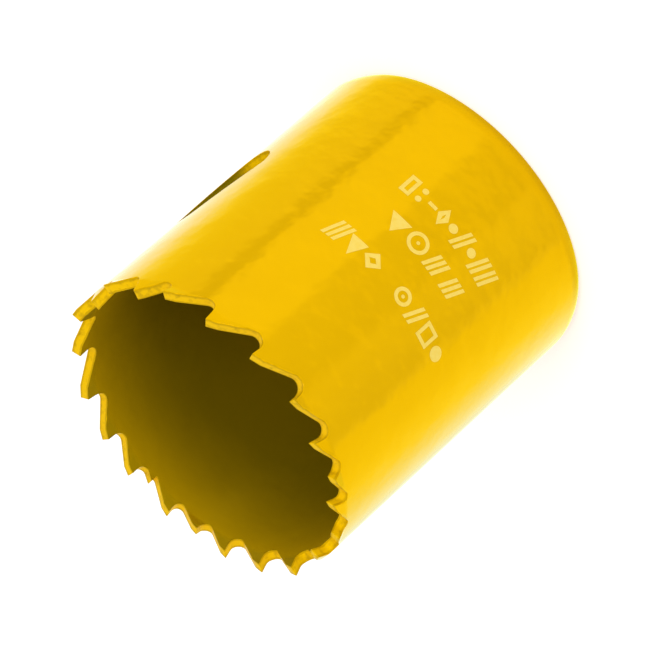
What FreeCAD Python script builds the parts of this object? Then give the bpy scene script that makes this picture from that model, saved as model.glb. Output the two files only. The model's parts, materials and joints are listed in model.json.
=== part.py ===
import FreeCAD, Part

import math
import os

from FreeCAD import Vector

# A hole saw: a cup rolled from toothed steel strip, closed at the back by a welded end plate.
# Millimetres. The origin is the centre of the back face, +Z runs towards the teeth,
# and +X passes through the middle of the chip slot.

# Whole saw
cutting_diameter = 40.0  # across the teeth that lean outwards
overall_height = 43.6  # back face to cutting edges
wall_thickness = 1.3
crown_length = 2.2  # stretch at the back where the wall's outside curves in
crown_drop = 0.6  # how far it has curved in at the back face
weld_groove = 0.3  # chamfer on each side of the welded joint

# Teeth, in three waves of short and long pitches from the seam round
tooth_pitches = (
    (5.0, 4.3, 4.4, 5.55, 5.95, 6.45, 6.25)
    + (4.9, 4.5, 4.65, 5.8, 6.7, 6.8, 6.1)
    + (5.1, 4.95, 4.35, 5.15, 6.3, 7.1, 5.8)
)
depth_share = 0.36  # gullet depth over tooth pitch
gullet_share = 0.19  # gullet radius over tooth pitch
relief_share = 0.21  # length of the relief behind a cutting edge over tooth pitch
rake_angle = 5.0  # degrees that a tooth's face leans forward
relief_angle = 15.0  # degrees that the relief falls away
tip_land = 0.12  # flat on a tooth's tip
stub_share = 0.5  # part of the last tooth that the seam leaves
seam_angle = 100.5  # degrees from +X to the seam where the strip's ends meet

# Set, the sideways lean of each tooth: 1 outwards, -1 inwards, 0 straight
tooth_set = 0.5  # lean at the tip
tooth_leans = (1, -1, 1, 1, 1, -1, 1) + (-1, 1, -1, 1, 0, -1, 1) + (-1, 1, -1, 1, 0, 1, 1)
lean_share = 0.85  # part of the shallowest tooth's depth that leans
bottom_margin = 0.25  # part of a gullet's radius left free of each leaning tooth's metal

# Chip slot
slot_width = 5.2
slot_length = 14.2
slot_slant = 17.9  # degrees from the saw's axis
slot_height = 22.9  # middle of the slot above the back face

# End plate
plate_thickness = 5.0
plate_rim_gap = 0.0  # the plate's rim and the wall meet line to line under the weld
thread_diameter = 15.875  # 5/8 inch, 18 threads to the inch
thread_chamfer = 0.6
pin_hole_count = 4
thread_web = 1.4625  # metal between the thread and each drive-pin hole
rim_web = 2.2  # metal between each drive-pin hole and the plate's rim
pin_hole_chamfer = 0.3

# Sizes that follow from these
wall_outer = cutting_diameter / 2 - tooth_set
wall_inner = wall_outer - wall_thickness
strip_length = 2 * math.pi * wall_outer
rake = math.radians(rake_angle)
relief = math.radians(relief_angle)
bend_height = overall_height - lean_share * depth_share * min(tooth_pitches)
plate_radius = wall_inner - plate_rim_gap
thread_radius = thread_diameter / 2
pin_hole_radius = (plate_radius - rim_web - thread_radius - thread_web) / 2
pin_circle_radius = thread_radius + thread_web + pin_hole_radius
crown_radius = (crown_length**2 + crown_drop**2) / (2 * crown_drop)
overrun = wall_thickness  # how far each cutter passes the metal

upward = Vector(0, 0, 1)
centre = Vector(0, 0, 0)


# Where the teeth stand along the strip


def gullet_offset(pitch):
    # from a cutting edge along the strip to the lowest point of the gullet in front of it
    radius = gullet_share * pitch
    drop = (depth_share - gullet_share) * pitch
    return (radius - drop * math.sin(rake)) / math.cos(rake)


def lay_out_teeth():
    # whole teeth fill the strip and are stretched a hair, so that the seam leaves a stub of the last
    known = len(tooth_pitches)
    used = tooth_pitches[0] - gullet_offset(tooth_pitches[0])
    count = 1
    ahead = tooth_pitches[1]
    following = tooth_pitches[2]
    while used + ahead + stub_share * following <= strip_length:
        used += ahead
        count += 1
        ahead = following
        following = tooth_pitches[(count + 1) % known]
    stretch = strip_length / (used + stub_share * ahead)
    teeth = []
    edge = -gullet_offset(stretch * tooth_pitches[0])
    for number in range(count + 1):
        pitch = stretch * tooth_pitches[number % known]
        edge += pitch
        teeth.append({"pitch": pitch, "edge": edge, "lean": tooth_leans[number % len(tooth_leans)]})
    return teeth


# Outline of a gullet, in distance along the strip and height


def gullet_outline(start, pitch):
    # start is the cutting edge behind the gullet, and the next edge stands one pitch on
    depth = depth_share * pitch
    radius = gullet_share * pitch
    middle = start + gullet_offset(pitch)
    level = overall_height - depth + radius
    relief_end = (
        start + pitch - tip_land - relief_share * pitch * math.cos(relief),
        overall_height - relief_share * pitch * math.sin(relief),
    )
    run = relief_end[0] - middle
    rise = relief_end[1] - level
    slope = math.atan2(rise, run) + math.asin(radius / math.hypot(run, rise))

    def on_arc(angle):
        return (middle + radius * math.cos(angle), level + radius * math.sin(angle))

    return {
        "edge": (start, overall_height),
        "face_end": on_arc(math.pi - rake),
        "bottom": on_arc(-math.pi / 2),
        "rise_middle": on_arc((slope - math.pi) / 2),
        "rise_end": on_arc(slope - math.pi / 2),
        "relief_end": relief_end,
        "tip_back": (start + pitch - tip_land, overall_height),
    }


def above(point):
    return (point[0], overall_height + overrun)


def whole_gullet(start, pitch):
    outline = gullet_outline(start, pitch)
    return [
        (above(outline["edge"]), outline["edge"]),
        (outline["edge"], outline["face_end"]),
        (outline["face_end"], outline["bottom"], outline["rise_end"]),
        (outline["rise_end"], outline["relief_end"]),
        (outline["relief_end"], outline["tip_back"]),
        (outline["tip_back"], above(outline["tip_back"])),
        (above(outline["tip_back"]), above(outline["edge"])),
    ]


def seam_gullet(last_edge, stub_pitch, first_pitch):
    # the stub's back is cut off at the seam, where the strip's other end starts in its own gullet
    stub = gullet_outline(last_edge, stub_pitch)
    first = gullet_outline(strip_length - gullet_offset(first_pitch), first_pitch)
    along = (strip_length - stub["rise_end"][0]) / (stub["relief_end"][0] - stub["rise_end"][0])
    cut_height = stub["rise_end"][1] + along * (stub["relief_end"][1] - stub["rise_end"][1])
    cut = (strip_length, cut_height)
    return [
        (above(stub["edge"]), stub["edge"]),
        (stub["edge"], stub["face_end"]),
        (stub["face_end"], stub["bottom"], stub["rise_end"]),
        (stub["rise_end"], cut),
        (cut, first["bottom"]),
        (first["bottom"], first["rise_middle"], first["rise_end"]),
        (first["rise_end"], first["relief_end"]),
        (first["relief_end"], first["tip_back"]),
        (first["tip_back"], above(first["tip_back"])),
        (above(first["tip_back"]), above(stub["edge"])),
    ]


# From the flat strip to the rolled wall


def turn(along):
    return seam_angle + math.degrees(along / wall_outer)


def rolled_wire(outline, reach):
    # the outline stands on a plane at this reach from the axis, so that both ends of a ruled cut are radial
    first = outline[0][0][0]
    last = outline[-2][0][0]
    facing = (first + last) / 2
    edges = []
    for piece in outline:
        points = []
        for along, height in piece:
            points.append(Vector(reach, reach * math.tan((along - facing) / wall_outer), height))
        if len(points) == 3:
            edges.append(Part.Arc(*points).toShape())
        else:
            edges.append(Part.makeLine(*points))
    wire = Part.Wire(edges)
    wire.rotate(centre, upward, turn(facing))
    return wire


def gullet_cutter(outline):
    inner = rolled_wire(outline, wall_inner - tooth_set - overrun)
    outer = rolled_wire(outline, wall_outer + tooth_set + overrun)
    return Part.makeLoft([inner, outer], True, True)


def revolved(points, start=0.0, span=360.0):
    corners = [Vector(radius, 0, height) for radius, height in points]
    face = Part.Face(Part.makePolygon(corners + corners[:1]))
    face.rotate(centre, upward, start)
    return face.revolve(centre, upward, span)


def tooth_blank(start, end, lean):
    # the metal of one tooth above the bend, before its gullets are cut
    lean_out = lean * tooth_set
    section = [
        (wall_inner, bend_height),
        (wall_outer, bend_height),
        (wall_outer + lean_out, overall_height),
        (wall_inner + lean_out, overall_height),
    ]
    return revolved(section, turn(start), turn(end) - turn(start))


# The two pieces


def wall_ring():
    half_turn = math.asin(crown_length / crown_radius) / 2
    crown_middle = Vector(wall_outer - crown_radius, 0, crown_length)
    points = [
        Vector(wall_outer - crown_drop, 0, 0),
        crown_middle + crown_radius * Vector(math.cos(half_turn), 0, -math.sin(half_turn)),
        Vector(wall_outer, 0, crown_length),
        Vector(wall_outer, 0, bend_height),
        Vector(wall_inner, 0, bend_height),
        Vector(wall_inner, 0, weld_groove),
        Vector(wall_inner + weld_groove, 0, 0),
    ]
    crown = Part.Arc(*points[:3]).toShape()
    sides = Part.makePolygon(points[2:] + points[:1])
    section = Part.Face(Part.Wire([crown] + sides.Edges))
    return section.revolve(centre, upward, 360)


def chip_slot():
    half_width = slot_width / 2
    half_run = slot_length / 2 - half_width
    near = wall_inner - overrun
    low_left = Vector(near, -half_width, -half_run)
    high_left = Vector(near, -half_width, half_run)
    low_right = Vector(near, half_width, -half_run)
    high_right = Vector(near, half_width, half_run)
    edges = [
        Part.makeLine(low_left, high_left),
        Part.Arc(high_left, Vector(near, 0, half_run + half_width), high_right).toShape(),
        Part.makeLine(high_right, low_right),
        Part.Arc(low_right, Vector(near, 0, -half_run - half_width), low_left).toShape(),
    ]
    slot = Part.Face(Part.Wire(edges)).extrude(Vector(wall_thickness + 2 * overrun, 0, 0))
    slot.rotate(centre, Vector(1, 0, 0), -slot_slant)
    slot.translate(Vector(0, 0, slot_height))
    return slot


def make_toothed_wall():
    teeth = lay_out_teeth()
    blanks = []
    cutters = []
    for number, tooth in enumerate(teeth):
        pitch = tooth["pitch"]
        start = tooth["edge"] - pitch + gullet_offset(pitch) + bottom_margin * gullet_share * pitch
        if number + 1 < len(teeth):
            ahead = teeth[number + 1]["pitch"]
            end = tooth["edge"] + gullet_offset(ahead) - bottom_margin * gullet_share * ahead
        else:
            end = strip_length
        blanks.append(tooth_blank(start, end, tooth["lean"]))
        if 0 < number < len(teeth) - 1:
            cutters.append(gullet_cutter(whole_gullet(tooth["edge"] - pitch, pitch)))
    seam = seam_gullet(teeth[-2]["edge"], teeth[-1]["pitch"], teeth[0]["pitch"])
    cutters.append(gullet_cutter(seam))
    ring = wall_ring().cut(chip_slot())
    return ring.fuse(blanks).cut(cutters).removeSplitter()


def chamfered_hole(radius, chamfer, depth):
    section = [
        (0, -chamfer),
        (radius + 2 * chamfer, -chamfer),
        (radius, chamfer),
        (radius, depth - chamfer),
        (radius + 2 * chamfer, depth + chamfer),
        (0, depth + chamfer),
    ]
    return revolved(section)


def make_end_plate():
    disc = [
        (0, 0),
        (plate_radius - weld_groove, 0),
        (plate_radius, weld_groove),
        (plate_radius, plate_thickness),
        (0, plate_thickness),
    ]
    holes = [chamfered_hole(thread_radius, thread_chamfer, plate_thickness)]
    for number in range(pin_hole_count):
        hole = chamfered_hole(pin_hole_radius, pin_hole_chamfer, plate_thickness)
        hole.translate(Vector(pin_circle_radius, 0, 0))
        hole.rotate(centre, upward, number * 360 / pin_hole_count)
        holes.append(hole)
    return revolved(disc).cut(holes)


def main():
    os.makedirs("parts", exist_ok=True)
    parts = {"toothed_wall": make_toothed_wall(), "end_plate": make_end_plate()}
    for name, shape in parts.items():
        print(name, len(shape.Solids), "solid", round(shape.Volume, 2), "mm3, valid", shape.isValid())
        shape.exportStep("parts/" + name + ".step")


main()
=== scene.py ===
import json
import math

import bmesh
import bpy
import numpy as np
from mathutils import Matrix, Vector
from mathutils.geometry import delaunay_2d_cdt


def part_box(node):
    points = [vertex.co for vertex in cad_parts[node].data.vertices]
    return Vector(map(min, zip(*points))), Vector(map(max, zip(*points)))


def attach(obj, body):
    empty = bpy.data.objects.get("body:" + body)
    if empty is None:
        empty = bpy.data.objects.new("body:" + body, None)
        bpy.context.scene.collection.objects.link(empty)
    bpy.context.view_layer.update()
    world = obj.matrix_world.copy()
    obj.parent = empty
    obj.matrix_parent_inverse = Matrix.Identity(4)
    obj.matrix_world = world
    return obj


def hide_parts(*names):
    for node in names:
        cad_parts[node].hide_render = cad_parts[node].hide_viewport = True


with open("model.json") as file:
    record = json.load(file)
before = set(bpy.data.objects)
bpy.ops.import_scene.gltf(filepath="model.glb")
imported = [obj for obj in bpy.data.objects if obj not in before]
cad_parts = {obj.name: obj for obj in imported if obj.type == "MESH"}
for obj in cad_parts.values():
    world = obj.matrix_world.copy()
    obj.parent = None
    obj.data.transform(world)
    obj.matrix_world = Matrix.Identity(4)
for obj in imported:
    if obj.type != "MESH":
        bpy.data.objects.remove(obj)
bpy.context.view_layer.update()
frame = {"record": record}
scene = bpy.context.scene
mm = 0.001
print("frame loaded")


# Camera, at the photograph's angle

cameraView = {
    "aim": (-0.263 * mm, 0.325 * mm, 22.398 * mm),
    "azimuth": 9.5245,  # degrees, from the front round to the right
    "elevation": 31.3532,
    "roll": 131.7167,
    "distance": 564.083 * mm,
    "lens": 276.159,
    "sensor": 36.0,
}


def makeCamera(view):
    azimuth = math.radians(view["azimuth"])
    elevation = math.radians(view["elevation"])
    back = Vector((
        math.sin(azimuth) * math.cos(elevation),
        -math.cos(azimuth) * math.cos(elevation),
        math.sin(elevation),
    ))
    data = bpy.data.cameras.new("camera")
    data.lens = view["lens"]
    data.sensor_width = view["sensor"]
    data.clip_start = 0.01
    data.clip_end = 20
    camera = bpy.data.objects.new("camera", data)
    turned = (-back).to_track_quat("-Z", "Y").to_matrix().to_4x4()
    turned = turned @ Matrix.Rotation(-math.radians(view["roll"]), 4, "Z")
    camera.matrix_world = Matrix.Translation(Vector(view["aim"]) + back * view["distance"]) @ turned
    scene.collection.objects.link(camera)
    scene.camera = camera


makeCamera(cameraView)
print("camera made")


# Sizes that the pieces share, in millimetres

mounts = {mount["name"]: mount for mount in frame["record"]["mounts"]}
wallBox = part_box("toothed_wall")
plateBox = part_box("end_plate")
height = round(wallBox[1].z / mm, 2)

strip = {
    "outer": 19.5,
    "thickness": 1.3,
    "seamAngle": 100.5,  # degrees from +X
    "set": 0.5,
    "pitches": (
        (5.0, 4.3, 4.4, 5.55, 5.95, 6.45, 6.25)
        + (4.9, 4.5, 4.65, 5.8, 6.7, 6.8, 6.1)
        + (5.1, 4.95, 4.35, 5.15, 6.3, 7.1, 5.8)
    ),
    "leans": (1, -1, 1, 1, 1, -1, 1) + (-1, 1, -1, 1, 0, -1, 1) + (-1, 1, -1, 1, 0, 1, 1),
    "leanShare": 0.85,
    "depthShare": 0.36,
    "gulletShare": 0.19,
    "reliefShare": 0.21,
    "rake": math.radians(5),
    "relief": math.radians(15),
    "tipLand": 0.12,
    "stubShare": 0.5,
}
stripLength = 2 * math.pi * strip["outer"]
stripInner = strip["outer"] - strip["thickness"]
bendHeight = height - strip["leanShare"] * strip["depthShare"] * min(strip["pitches"])
bendSoftness = 0.25  # how far above and below its height the bend of the teeth is soft

finish = {
    "edgeRound": 0.07,  # rounding where a face meets the metal's thickness
    "edgeSteps": 3,
    "cornerRound": 0.09,  # rounding of the corners of an outline
    "cornerSteps": 3,
    "cornerRoom": 0.75,  # most of a short side that one corner may take
    "cornerTurn": math.radians(25),  # a smaller turn is part of a curve
    "cornerStretch": 2.0,  # most that a corner stretches an inset
    "arcSteps": 7,
    "clearance": 0.22,  # between an outline and the points inside it
    "merge": 0.002,  # points this close become one
    "sameLevel": 0.01,  # places this close count as one level
}
edgeRoundEnd = strip["outer"] - finish["edgeRound"]


# Flat outlines, as points along the strip and heights


def gulletOffset(pitch):
    radius = strip["gulletShare"] * pitch
    drop = (strip["depthShare"] - strip["gulletShare"]) * pitch
    return (radius - drop * math.sin(strip["rake"])) / math.cos(strip["rake"])


def layOutTeeth():
    pitches = strip["pitches"]
    known = len(pitches)
    used = pitches[0] - gulletOffset(pitches[0])
    count = 1
    ahead = pitches[1]
    following = pitches[2]
    while used + ahead + strip["stubShare"] * following <= stripLength:
        used += ahead
        count += 1
        ahead = following
        following = pitches[(count + 1) % known]
    stretch = stripLength / (used + strip["stubShare"] * ahead)
    teeth = []
    edge = -gulletOffset(stretch * pitches[0])
    for number in range(count + 1):
        pitch = stretch * pitches[number % known]
        edge += pitch
        teeth.append({"pitch": pitch, "edge": edge, "lean": strip["leans"][number % known]})
    return teeth


def arcPoints(middle, radius, start, end, steps):
    points = []
    for step in range(steps + 1):
        angle = start + (end - start) * step / steps
        points.append(Vector((middle[0] + radius * math.cos(angle), middle[1] + radius * math.sin(angle))))
    return points


def gulletPoints(start, pitch):
    # from the cutting edge at start, down the face, round the bottom and up to the next tooth's tip
    radius = strip["gulletShare"] * pitch
    middle = (start + gulletOffset(pitch), height - strip["depthShare"] * pitch + radius)
    reliefEnd = Vector((
        start + pitch - strip["tipLand"] - strip["reliefShare"] * pitch * math.cos(strip["relief"]),
        height - strip["reliefShare"] * pitch * math.sin(strip["relief"]),
    ))
    run = reliefEnd[0] - middle[0]
    rise = reliefEnd[1] - middle[1]
    slope = math.atan2(rise, run) + math.asin(radius / math.hypot(run, rise))
    faceEnd = math.pi - strip["rake"] - 2 * math.pi
    return {
        "edge": Vector((start, height)),
        "down": arcPoints(middle, radius, faceEnd, -math.pi / 2, finish["arcSteps"]),
        "up": arcPoints(middle, radius, -math.pi / 2, slope - math.pi / 2, finish["arcSteps"]),
        "reliefEnd": reliefEnd,
        "tipBack": Vector((start + pitch - strip["tipLand"], height)),
    }


def toothedEdge(teeth):
    # the whole toothed edge, from the seam round to the seam
    first = gulletPoints(-gulletOffset(teeth[0]["pitch"]), teeth[0]["pitch"])
    points = first["up"] + [first["reliefEnd"], first["tipBack"]]
    for tooth, ahead in zip(teeth[:-1], teeth[1:]):
        gullet = gulletPoints(tooth["edge"], ahead["pitch"])
        points += [gullet["edge"]] + gullet["down"] + gullet["up"][1:]
        if ahead is not teeth[-1]:
            points += [gullet["reliefEnd"], gullet["tipBack"]]
    riseEnd = gullet["up"][-1]
    share = (stripLength - riseEnd[0]) / (gullet["reliefEnd"][0] - riseEnd[0])
    points.append(riseEnd.lerp(gullet["reliefEnd"], share))
    return points


def waysThrough(points, closingShift):
    # the way to and the way from each point of a closed outline; closingShift leads from its end to its
    # next turn
    count = len(points)
    ways = []
    for number, point in enumerate(points):
        before = points[number - 1] - (closingShift if number == 0 else Vector((0, 0)))
        after = points[(number + 1) % count] + (closingShift if number == count - 1 else Vector((0, 0)))
        ways.append((point - before, after - point))
    return ways


def roundCorners(points, closingShift):
    # each sharp corner of a closed outline becomes a small arc
    rounded = []
    for point, (wayTo, wayFrom) in zip(points, waysThrough(points, closingShift)):
        arriving = wayTo.normalized()
        leaving = wayFrom.normalized()
        turn = arriving.angle_signed(leaving, 0)
        if abs(turn) < finish["cornerTurn"]:
            rounded.append(point)
            continue
        room = finish["cornerRoom"] * min(wayTo.length, wayFrom.length)
        tangent = min(finish["cornerRound"] * math.tan(abs(turn) / 2), room)
        radius = tangent / math.tan(abs(turn) / 2)
        middle = point + (leaving - arriving).normalized() * radius / math.cos(turn / 2)
        begin = point - arriving * tangent - middle
        end = point + leaving * tangent - middle
        for step in range(finish["cornerSteps"] + 1):
            swept = abs(turn) * step / finish["cornerSteps"]
            spread = math.sin(abs(turn))
            rounded.append(
                middle + begin * math.sin(abs(turn) - swept) / spread + end * math.sin(swept) / spread
            )
    return rounded


def metalSide(points, closingShift):
    # at each point the direction into the metal, which lies to the right of the way round,
    # and how far a corner stretches an inset
    sides = []
    for wayTo, wayFrom in waysThrough(points, closingShift):
        arriving = wayTo.normalized()
        leaving = wayFrom.normalized()
        right = Vector((arriving.y + leaving.y, -arriving.x - leaving.x)).normalized()
        stretch = 1 / max(1 / finish["cornerStretch"], right.dot(Vector((arriving.y, -arriving.x))))
        sides.append((right, stretch))
    return sides


def profileFacing(points):
    # directions to the left of the way along an open profile
    sides = [(after - before).normalized() for before, after in zip(points[:-1], points[1:])]
    sides = [sides[0]] + sides + [sides[-1]]
    facing = [(before + after).normalized() for before, after in zip(sides[:-1], sides[1:])]
    return [Vector((-side.y, side.x)) for side in facing]


# Meshes of flat sheet, from closed outlines with the metal on their right


def insideOutlines(points, outlines):
    # even-odd test of many points against closed outlines
    inside = np.zeros(len(points), bool)
    for outline in outlines:
        start = np.array(outline)
        end = np.roll(start, -1, axis=0)
        for (ax, ay), (bx, by) in zip(start, end):
            crosses = (ay > points[:, 1]) != (by > points[:, 1])
            if ay != by:
                inside ^= crosses & (points[:, 0] < ax + (points[:, 1] - ay) * (bx - ax) / (by - ay))
    return inside


def distanceTo(points, outlines, closed=True):
    nearest = np.full(len(points), 1e9)
    for outline in outlines:
        start = np.array(outline)
        side = np.roll(start, -1, axis=0) - start
        if not closed:
            side = side[:-1]
        for corner, along in zip(start, side):
            share = np.clip(((points - corner) @ along) / max(1e-12, along @ along), 0, 1)
            gap = np.linalg.norm(points - corner - share[:, None] * along, axis=1)
            nearest = np.minimum(nearest, gap)
    return nearest


def fillSheet(outlines, scattered):
    # triangles of the region between the outlines, with the scattered points that stand clear of them
    loose = np.array(scattered)
    keep = insideOutlines(loose, outlines) & (distanceTo(loose, outlines) > finish["clearance"])
    points = []
    edges = []
    for outline in outlines:
        base = len(points)
        points += [Vector(point) for point in outline]
        edges += [(base + number, base + (number + 1) % len(outline)) for number in range(len(outline))]
    points += [Vector(point) for point in loose[keep]]
    found = delaunay_2d_cdt(points, edges, [], 0, 1e-6)
    corners = np.array([tuple(point) for point in found[0]])
    triangles = np.array(found[2])
    middles = corners[triangles].mean(axis=1)
    return corners, triangles[insideOutlines(middles, outlines)]


class Sheet:
    # collects the points and faces of a mesh, with a direction for the shading at each point

    def __init__(self):
        self.points = []
        self.normals = []
        self.faces = []

    def addPoints(self, points, normals):
        base = len(self.points)
        self.points += [tuple(point) for point in points]
        self.normals += [tuple(normal) for normal in normals]
        return base

    def addBand(self, rows, rowNormals, closed):
        count = len(rows[0])
        bases = [self.addPoints(row, normals) for row, normals in zip(rows, rowNormals)]
        for low, high in zip(bases[:-1], bases[1:]):
            for number in range(count if closed else count - 1):
                following = (number + 1) % count
                self.faces.append((low + number, low + following, high + following, high + number))

    def addFilled(self, points, normal, triangles):
        # points that all face one way, and the triangles between them
        base = self.addPoints(points, [normal] * len(points))
        self.faces += [tuple(int(corner) + base for corner in triangle) for triangle in triangles]

    def makeObject(self, name, merge):
        # a mesh in metres with its doubles merged and the shading directions kept as an attribute
        mesh = bpy.data.meshes.new(name)
        mesh.from_pydata([tuple(mm * value for value in point) for point in self.points], [], self.faces)
        shading = mesh.attributes.new("shading", "FLOAT_VECTOR", "POINT")
        shading.data.foreach_set("vector", np.array(self.normals, np.float32).ravel())
        built = bmesh.new()
        built.from_mesh(mesh)
        bmesh.ops.remove_doubles(built, verts=built.verts, dist=merge * mm)
        built.to_mesh(mesh)
        built.free()
        made = bpy.data.objects.new(name, mesh)
        scene.collection.objects.link(made)
        return made


def keepValues(made, name, values):
    attribute = made.data.attributes.new(name, "FLOAT", "POINT")
    attribute.data.foreach_set("value", np.array(values, np.float32))


# The toothed wall, laid flat: x along the strip, y the distance from the axis, z the height

wall = {
    "columns": 156,
    "edgeReach": 0.4,  # how far the darker lines beside a cut edge reach
    "edgeSpacing": 0.3,
    "edgeFar": 2.0,  # what the inside keeps as its place across a cut edge, past every line
    "rowStep": 1.3,
    "bandTop": 2.2,  # the crown round the back reaches up to here
    "crownDrop": 0.6,
    "crownSteps": 12,
    "crownCorner": ((0.02, 0.022), (-0.04, 0)),  # from the crown on to the back face: distance and height
    "innerStart": 1.0,
    "groove": 0.3,
    "toothRows": (40.0, 40.8, 41.5),  # closer rows where the teeth begin
    "bentRows": (0.55, 0.8),  # further rows up the bent part of the teeth
    "cutBetween": 4,  # the flat sheet starts at the bottom of the gullet behind this tooth
    "seamReach": 0.15,  # how far past the seam the stub's last points may lie
    "slotWidth": 5.2,
    "slotLength": 14.2,
    "slotSlant": math.radians(17.9),
    "slotHeight": 22.9,
    "slotSteps": 18,
    "slotSideSteps": 8,
    "slotMargin": 0.1,  # past the slot's ends, for finding its cut face
    "outTipShade": 0.7,  # how much deeper the painted shade of the inside reaches on teeth that lean out
    "inTipShadeLoss": 0.35,  # how much of the inside's painted shade teeth that lean in lose on their inner side
    "slotShade": 1.0,  # how dark the painted shade on the slot's cut face gets
    "slotShadeStart": 17.6,
    "slotShadeRun": 1.6,
}


def slotOutline():
    # across and height, round both ends, with the metal outside
    halfWidth = wall["slotWidth"] / 2
    halfRun = wall["slotLength"] / 2 - halfWidth
    upper = arcPoints((0, halfRun), halfWidth, 0, math.pi, wall["slotSteps"])
    lower = arcPoints((0, -halfRun), halfWidth, math.pi, 2 * math.pi, wall["slotSteps"])
    sides = wall["slotSideSteps"]
    left = [upper[-1].lerp(lower[0], step / sides) for step in range(1, sides)]
    right = [lower[-1].lerp(upper[0], step / sides) for step in range(1, sides)]
    turned = Matrix.Rotation(-wall["slotSlant"], 2)
    return [turned @ point + Vector((0, wall["slotHeight"])) for point in upper + left + lower + right]


def edgeSteps(outerFace, innerFace):
    # round both edges of the metal's thickness: inset, distance from the axis, and the parts of the normal
    # sideways and outwards
    radius = finish["edgeRound"]
    rounds = []
    for face, outward in ((outerFace, 1), (innerFace, -1)):
        steps = []
        for step in range(finish["edgeSteps"] + 1):
            angle = math.pi / 2 * (1 - step / finish["edgeSteps"])
            across = face - outward * radius * (1 - math.sin(angle))
            steps.append((radius * (1 - math.cos(angle)), across, math.cos(angle), outward * math.sin(angle)))
        rounds.append(steps)
    return rounds[0] + rounds[1][::-1]


def crownProfile():
    # from the wall's outside round the back to its inside: distance from the axis and height
    drop = wall["crownDrop"]
    radius = (wall["bandTop"] ** 2 + drop**2) / (2 * drop)
    end = math.asin((wall["bandTop"] - finish["edgeRound"]) / radius)
    middle = (strip["outer"] - radius, wall["bandTop"])
    points = arcPoints(middle, radius, 0, -end, wall["crownSteps"])
    back = strip["outer"] - drop - finish["edgeRound"]
    points += [Vector((back + aside, level)) for aside, level in wall["crownCorner"]]
    points += [Vector((stripInner + wall["groove"], 0)), Vector((stripInner, wall["groove"]))]
    return points + [Vector((stripInner, wall["innerStart"]))]


def besideEdge(placed, directions, inset, reach):
    # flat points at one distance from an outline, closer together than its own
    points = []
    count = len(directions)
    for number in range(count):
        here = Vector(placed(number, inset, reach)[::2])
        ahead = Vector(placed((number + 1) % count, inset, reach)[::2])
        if (ahead - here).length > stripInner:
            # the jump from the strip's end back to its start
            continue
        steps = math.ceil((ahead - here).length / wall["edgeSpacing"])
        points += [tuple(here.lerp(ahead, step / steps)) for step in range(steps)]
    return points


def toothLeans(points, teeth):
    # the lean of the tooth that each point of the flat wall belongs to
    ends = [tooth["edge"] + gulletOffset(ahead["pitch"]) for tooth, ahead in zip(teeth[:-1], teeth[1:])]
    ends.append(stripLength)
    stub = len(ends) - 1
    stubLow = height - strip["depthShare"] * teeth[0]["pitch"] + wall["seamReach"]
    leans = []
    for place, level in points[:, ::2]:
        along = place % stripLength
        number = next((n for n, end in enumerate(ends) if along < end), stub)
        if along < wall["seamReach"] and level > stubLow:
            number = stub
        leans.append(float(teeth[number]["lean"]))
    return leans


def wallPaintPlaces(points, leans, slot, gap):
    # how much painted shade each point of the flat wall takes, and how far each point is across a cut edge
    # that lies a gap away
    near = finish["sameLevel"]
    reach, level = points[:, 1], points[:, 2]
    slotLow = min(point.y for point in slot) - wall["slotMargin"]
    slotHigh = max(point.y for point in slot) + wall["slotMargin"]
    inner = (reach < stripInner + near) & (level > wall["groove"])
    paintedShade = inner.astype(float)
    bent = np.clip((level - bendHeight) / (2 * bendSoftness) + 0.5, 0, 1) * np.array(leans)
    paintedShade[inner] += np.where(bent > 0, wall["outTipShade"], wall["inTipShadeLoss"])[inner] * bent[inner]
    # painted shade on the slot's cut face, from a height upwards
    cutFace = (reach < edgeRoundEnd + near) & ~inner & (level > slotLow) & (level < slotHigh)
    rise = np.clip((level - wall["slotShadeStart"]) / wall["slotShadeRun"], 0, 1)
    paintedShade[cutFace] = wall["slotShade"] * rise[cutFace]
    across = edgeRoundEnd - reach
    beside = np.where(across > 0, wall["edgeReach"] + across, np.maximum(wall["edgeReach"] - gap, 0))
    beside[inner & (gap > finish["edgeRound"] + 2 * near)] = wall["edgeFar"]
    beside[level < wall["bandTop"] + near] = 0
    return paintedShade, beside


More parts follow.
